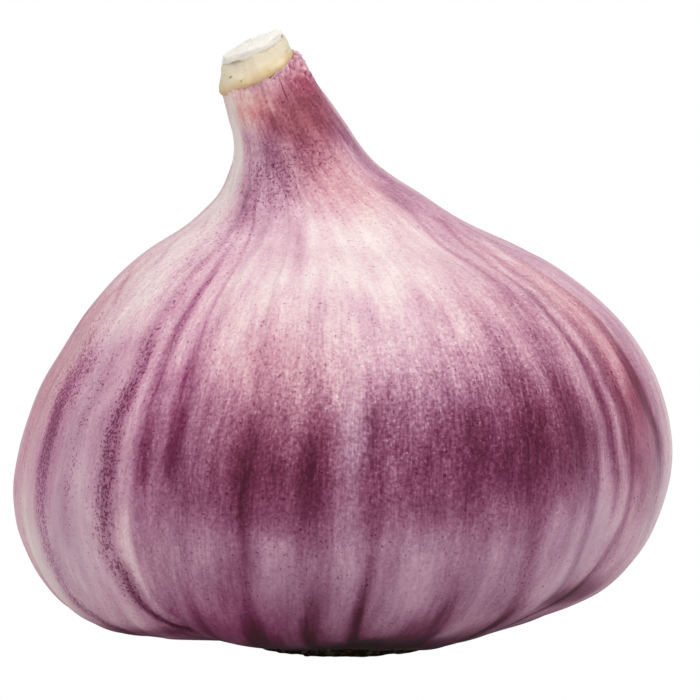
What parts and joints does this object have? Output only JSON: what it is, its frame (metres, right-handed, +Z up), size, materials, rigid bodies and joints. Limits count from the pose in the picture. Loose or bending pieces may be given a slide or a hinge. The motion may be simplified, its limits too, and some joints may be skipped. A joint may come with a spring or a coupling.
{
  "type": "garlic bulb",
  "caption": "Whole purple garlic bulb in its papery striped skin, with a leaning neck, a cut flower stalk and trimmed roots; it stands on its root plate.",
  "frame": {"origin": "on the surface the bulb stands on, under the middle of its width and depth", "axes": "+Z up; -Y is the front, the side seen first; the neck leans towards -X and a little towards -Y"},
  "size_m": [0.065, 0.0624, 0.0613],
  "materials": {
    "papery_skin": "thin dry papery skin, satin, pale lilac to wine purple stripes running from root to neck, fine long fibres and dark specks",
    "leaf_sheath": "dry cream inner leaf sheath, waxy satin, with a few brown specks",
    "stalk_flesh": "cut flower stalk, white matte cut face and a rounded white lip over a cream side",
    "corky_plate": "dark brown corky root plate with short trimmed root ends, matte"
  },
  "bodies": {
    "root": {"wrapped_bulb": "papery_skin", "sheath_collar": "leaf_sheath", "cut_stalk": "stalk_flesh", "root_plate": "corky_plate"}
  },
  "joints": []
}
